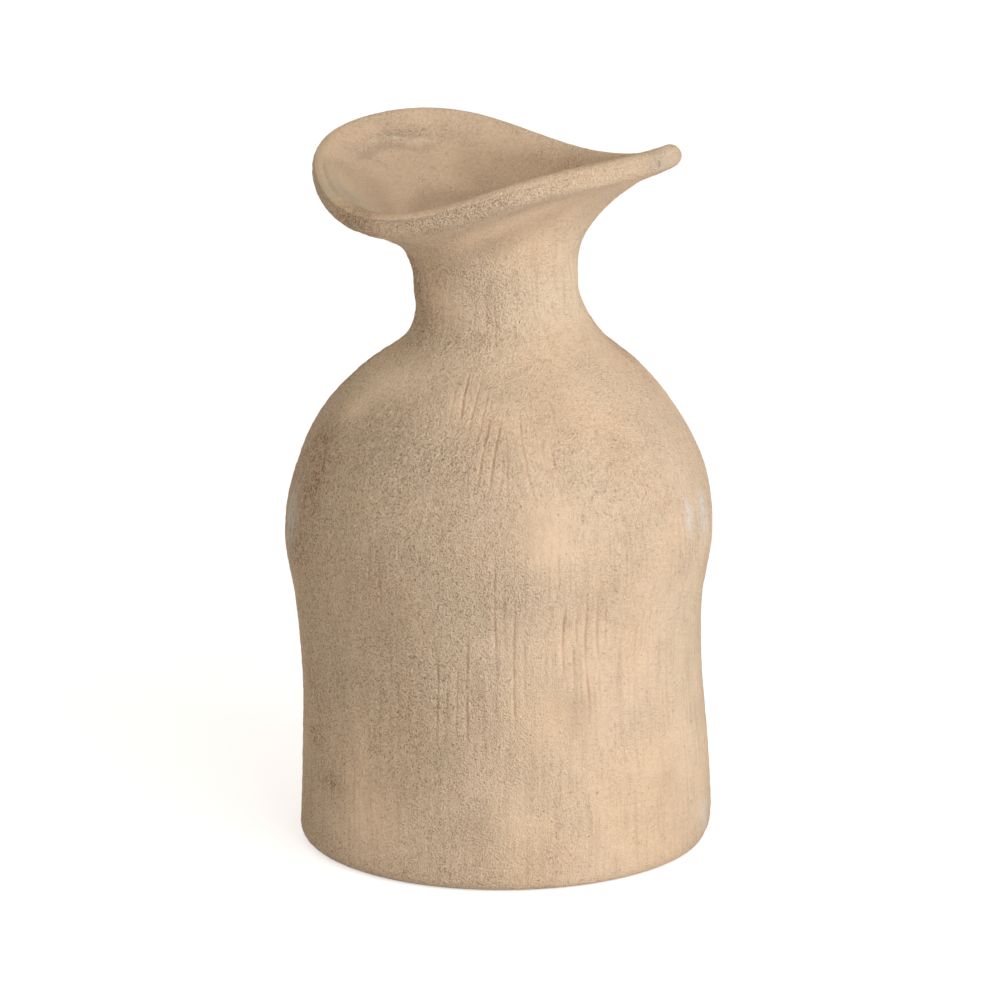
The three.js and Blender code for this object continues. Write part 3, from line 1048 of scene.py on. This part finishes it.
def clay_material():
    """Sandy matt slip: brown clay and painted shade in the grain's hollows, paler grains and painted light
    on its high points, a few dark specks, and the painted shade and light of the skin's shares
    """
    shader = Shader("sandy_slip_and_painted_light")
    grain_share = shader.attribute("grain")

    tone = shader.blend(shader.spread(shader.noise(CLOUD_SIZE), *CLOUD_RANGE), SAND, WARM_SAND)
    mottled = shader.times(shader.spread(shader.noise(MOTTLE_SIZE, 3), *MOTTLE_RANGE), MOTTLE_SHARE)
    sandy = shader.times(shader.spread(shader.noise(SAND_SIZE, 1), *CLOUD_RANGE), SAND_SHARE)
    mottled = shader.math("ADD", mottled, sandy)
    # The duller share holds painted shade in the mouth and under the rim, and the paler share painted
    # light on the rim and along the right edges
    dull_and_painted_shade = shader.math("ADD", mottled, shader.attribute("dull_and_painted_shade"))
    tone = shader.blend(dull_and_painted_shade, tone, DULL_SAND_AND_SHADE)
    tone = shader.blend(shader.attribute("pale_and_painted_light"), tone, PALE_SAND_AND_LIGHT)
    streaks = shader.spread(shader.noise(STREAK_SIZE, stretch=STREAK_STRETCH), *MOTTLE_RANGE)
    tone = shader.blend(shader.times(streaks, STREAK_SHARE), tone, DULL_SAND_AND_SHADE)
    tone = shader.blend(shader.times(shader.attribute("khaki"), KHAKI_SHARE), tone, KHAKI)

    fine = shader.noise(GRAIN_SIZE, 1, 0.6)
    body = shader.times(shader.spread(shader.noise(CLUMP_SIZE, 2, 0.6), *CLUMP_RANGE), BODY_SHARE)
    body = shader.times(body, shader.spread(fine, *BODY_RANGE))
    body = shader.times(shader.attribute("brown"), body)
    tone = shader.blend(body, tone, BROWN_CLAY)
    tone = shader.blend(shader.times(shader.attribute("bare"), BARE_SHARE), tone, BARE_CLAY)

    # Brown clay and painted shade in the grain's hollows, paler grains and painted light on its high
    # points
    pinholes = shader.specks(*PINHOLES, ragged=fine)
    shaded_pits = shader.math("MAXIMUM", shader.spread(fine, *PIT_RANGE), pinholes)
    shaded_pits = shader.times(shaded_pits, shader.spread(grain_share, *PIT_GRAINS, *PIT_SHARES))
    lit_crumbs = shader.times(shader.spread(fine, *CRUMB_RANGE), grain_share)
    tone = shader.blend(shaded_pits, tone, BROWN_GRAIN_AND_SHADE)
    tone = shader.blend(shader.times(lit_crumbs, CRUMB_SHARE), tone, PALE_GRAIN_AND_LIGHT)

    tone = shader.blend(shader.specks(*SPECKS), tone, SPECK)
    rubbed = shader.spread(shader.noise(STREAK_SIZE, 3, 0.6, RUB_STRETCH), *RUBBED_RANGE)
    tone = shader.blend(shader.times(shader.attribute("chalk"), rubbed), tone, CHALK)

    height = shader.math("SUBTRACT", fine, shader.times(pinholes, PINHOLE_DEPTH))
    normal = shader.bump(shader.times(height, grain_share), GRAIN_HEIGHT)
    shader.set(shader.surface.inputs["Base Color"], tone)
    shader.set(shader.surface.inputs["Roughness"], shader.spread(fine, *SHINE_RANGE, *SLIP_ROUGHNESS))
    shader.set(shader.surface.inputs["Normal"], normal)
    shader.surface.inputs["Specular IOR Level"].default_value = SLIP_SPECULAR
    shader.surface.inputs["Sheen Weight"].default_value = SLIP_SHEEN
    return shader.material


GLAZE_CLOUD_SIZE = 16
GLAZE_SHEEN_SIZE = 5
GLAZE_ROUGHNESS = (0.3, 0.42)
GLAZE_WAVE_SIZE = 6
GLAZE_WAVE_HEIGHT = 0.25


def glaze_material():
    """Thin satin glaze over the same clay"""
    shader = Shader("liner_glaze")
    clouds = shader.spread(shader.noise(GLAZE_CLOUD_SIZE, 3), *CLOUD_RANGE)
    roughness = shader.spread(shader.noise(GLAZE_SHEEN_SIZE), *SHINE_RANGE, *GLAZE_ROUGHNESS)
    normal = shader.bump(shader.noise(GLAZE_WAVE_SIZE), GLAZE_WAVE_HEIGHT)
    shader.set(shader.surface.inputs["Base Color"], shader.blend(clouds, GLAZE, GLAZE_DARK))
    shader.set(shader.surface.inputs["Roughness"], roughness)
    shader.set(shader.surface.inputs["Normal"], normal)
    return shader.material


clay = clay_material()
glaze = glaze_material()


# Pieces, each in place of its solid

def hidden_wall(high, low):
    """Inner face of a section's wall, which the lining covers, from its top down"""
    steps = max(int((high - low) / HIDDEN_STEP), 2)
    return body_rings(AZIMUTHS, np.linspace(high, low, steps + 1), WALL)


def base_slab():
    hollow = np.linspace(0, FOOT_RING_INSIDE - FOOT_HOLLOW_SLOPE, HOLLOW_RINGS)
    rings = Rings()
    rings.add([ring(AZIMUTHS, radius, FOOT_HOLLOW_DEPTH) for radius in hollow])
    rings.add([ring(AZIMUTHS, FOOT_RING_INSIDE, 0)])
    rings.add_skin("foot", "base_top")
    rings.add([ring(AZIMUTHS, radius, BASE_TOP) for radius in SLAB_TOP_RADII])
    make_piece("clay_base_slab", "base_slab", rings, clay, poles=True)


def wall_section(name, node, start, end, low, high):
    rings = Rings()
    rings.add_skin(start, end)
    rings.add(hidden_wall(high, low))
    make_piece(name, node, rings, clay)


def neck_collar():
    rings = Rings()
    rings.add_skin("neck_root", "throat")
    rings.add_skin("throat_inside", "neck_inside_end")
    rings.add(hidden_wall(NECK_HIDDEN_START, NECK_ROOT))
    make_piece("clay_neck_collar", "neck_collar", rings, clay)


def mouth_flare():
    rings = Rings()
    rings.add_skin("throat", "roll_outside")
    rings.add_skin("roll_inside", "throat_inside")
    make_piece("clay_mouth_flare", "mouth_flare", rings, clay)


def rim_roll():
    rings = Rings()
    rings.add_skin("roll_outside", "roll_inside")
    make_piece("clay_rim_roll", "rim_roll", rings, clay)


def glaze_lining():
    azimuths = np.linspace(0, 2 * np.pi, LINING_SIDES + 1)[:-1]
    back = WALL + FIT_GAP
    face = back + LINING_THICKNESS
    floor = BASE_TOP + LINING_THICKNESS
    heights = even_heights(BASE_TOP, LINING_TOP, LINING_STEP)
    inner_heights = [floor, *heights[1:]][::-1]
    spokes = np.linspace(0, 1, LINING_SPOKES)
    rings = Rings()
    rings.add([ring(azimuths, radius_at(BASE_TOP, back) * share, BASE_TOP) for share in spokes])
    rings.add(body_rings(azimuths, heights[1:], back))
    rings.add(body_rings(azimuths, inner_heights, face))
    rings.add([ring(azimuths, radius_at(floor, face) * share, floor) for share in spokes[-2::-1]])
    make_piece("glaze_skin_inside", "glaze_lining", rings, glaze, poles=True)


base_slab()
wall_section("clay_lower_wall", "lower_wall", "base_top", "waist", BASE_TOP, WAIST)
wall_section("clay_belly_wall", "belly_wall", "waist", "belly_end", WAIST, BELLY_END)
wall_section("clay_shoulder_dome", "shoulder_dome", "belly_end", "neck_root", BELLY_END, NECK_ROOT)
neck_collar()
mouth_flare()
rim_roll()
glaze_lining()


# Studio: a white floor that keeps the vase's shadow and is brighter far off, a white world with a warm
# light, and three soft lamps: a strong one from the front right, a weak one from above and a weak warm
# one from the left. Each lamp has its name, azimuth, elevation, size, level and tint

FLOOR_SIZE = 12
FLOOR_WHITE = (0.86, 0.86, 0.86, 1)
FLOOR_LIFT = 0.58
FAR_FLOOR = (0.5, 2.0)
FAR_FLOOR_LIFT = 0.7
WORLD_LIGHT = 0.44
WORLD_TINT = (1, 0.925, 0.84, 1)
WHITE = (1, 1, 1, 1)
LAMP_DISTANCE = 1.4
LAMP_AIM = Vector((0, 0, 0.13))
LAMPS = (
    ("key_lamp", -53, 15, 1.4, 0.73, (0.975, 1, 1.07)),
    ("top_lamp", -60, 70, 1.0, 0.08, (1, 1, 1)),
    ("fill_lamp", 188, 12, 1.4, 0.19, (1, 0.92, 0.84)),
)


def studio_floor():
    bpy.ops.mesh.primitive_plane_add(size=FLOOR_SIZE)
    floor = bpy.context.object
    floor.name = "studio_floor"
    shader = Shader("studio_white")
    shader.surface.inputs["Base Color"].default_value = FLOOR_WHITE
    shader.surface.inputs["Roughness"].default_value = 1
    shader.surface.inputs["Specular IOR Level"].default_value = 0
    path = shader.add("ShaderNodeLightPath")
    seen = shader.math("MAXIMUM", path.outputs["Is Camera Ray"], path.outputs["Is Glossy Ray"])
    seen = shader.math("MAXIMUM", seen, path.outputs["Is Transmission Ray"])
    distance = shader.add("ShaderNodeVectorMath", {0: shader.places}, operation="LENGTH").outputs["Value"]
    lift = shader.times(seen, shader.spread(distance, *FAR_FLOOR, FLOOR_LIFT, FAR_FLOOR_LIFT))
    shader.surface.inputs["Emission Color"].default_value = WHITE
    shader.set(shader.surface.inputs["Emission Strength"], lift)
    floor.data.materials.append(shader.material)


def white_world():
    world = bpy.data.worlds.new("studio_world")
    bpy.context.scene.world = world
    world.use_nodes = True
    tree = world.node_tree
    background = tree.nodes["Background"]
    path = tree.nodes.new("ShaderNodeLightPath")
    seen = tree.nodes.new("ShaderNodeMath")
    seen.operation = "MAXIMUM"
    tree.links.new(path.outputs["Is Camera Ray"], seen.inputs[0])
    tree.links.new(path.outputs["Is Transmission Ray"], seen.inputs[1])
    strength = tree.nodes.new("ShaderNodeMapRange")
    tree.links.new(seen.outputs[0], strength.inputs["Value"])
    strength.inputs["To Min"].default_value = WORLD_LIGHT
    tree.links.new(strength.outputs["Result"], background.inputs["Strength"])
    tint = tree.nodes.new("ShaderNodeMix")
    tint.data_type = "RGBA"
    tree.links.new(seen.outputs[0], tint.inputs["Factor"])
    tint.inputs[MIX_FROM].default_value = WORLD_TINT
    tint.inputs[MIX_TO].default_value = WHITE
    tree.links.new(tint.outputs[MIX_RESULT], background.inputs["Color"])


def area_lamp(name, azimuth, elevation, size, level, tint):
    """Square lamp that faces the vase's middle and lights it as a sun of that level would"""
    a, e = np.radians(azimuth), np.radians(elevation)
    towards = Vector((np.cos(a) * np.cos(e), np.sin(a) * np.cos(e), np.sin(e)))
    lamp = bpy.data.lights.new(name, "AREA")
    lamp.shape = "SQUARE"
    lamp.size = size
    lamp.energy = level * (np.pi * LAMP_DISTANCE)**2
    lamp.color = tint
    holder = bpy.data.objects.new(name, lamp)
    holder.location = LAMP_AIM + towards * LAMP_DISTANCE
    holder.rotation_euler = towards.to_track_quat("Z", "Y").to_euler()
    bpy.context.scene.collection.objects.link(holder)


studio_floor()
white_world()
for lamp in LAMPS:
    area_lamp(*lamp)


# Camera: at the photograph's angle, a little above the vase, and turned by a fraction of a degree as
# the photograph is

CAMERA_DISTANCE = 2200
CAMERA_ELEVATION = 17.8
CAMERA_AIM = (0.5, 0, 121.6)
CAMERA_ROLL = -0.4
SENSOR = 36
FRAME_PIXELS = 1000
PIXEL_SIZE = 0.358


def studio_camera():
    elevation = np.radians(CAMERA_ELEVATION)
    camera = bpy.data.objects.new("camera", bpy.data.cameras.new("camera"))
    place = Vector((0, -CAMERA_DISTANCE * np.cos(elevation), CAMERA_DISTANCE * np.sin(elevation))) * MM
    towards = place - Vector(CAMERA_AIM) * MM
    look = towards.to_track_quat("Z", "Y").to_matrix() @ Matrix.Rotation(np.radians(CAMERA_ROLL), 3, "Z")
    camera.matrix_world = Matrix.Translation(place) @ look.to_4x4()
    camera.data.sensor_width = SENSOR
    camera.data.lens = SENSOR * CAMERA_DISTANCE / PIXEL_SIZE / FRAME_PIXELS
    bpy.context.scene.collection.objects.link(camera)
    bpy.context.scene.camera = camera


studio_camera()
bpy.context.scene.view_settings.view_transform = "Standard"
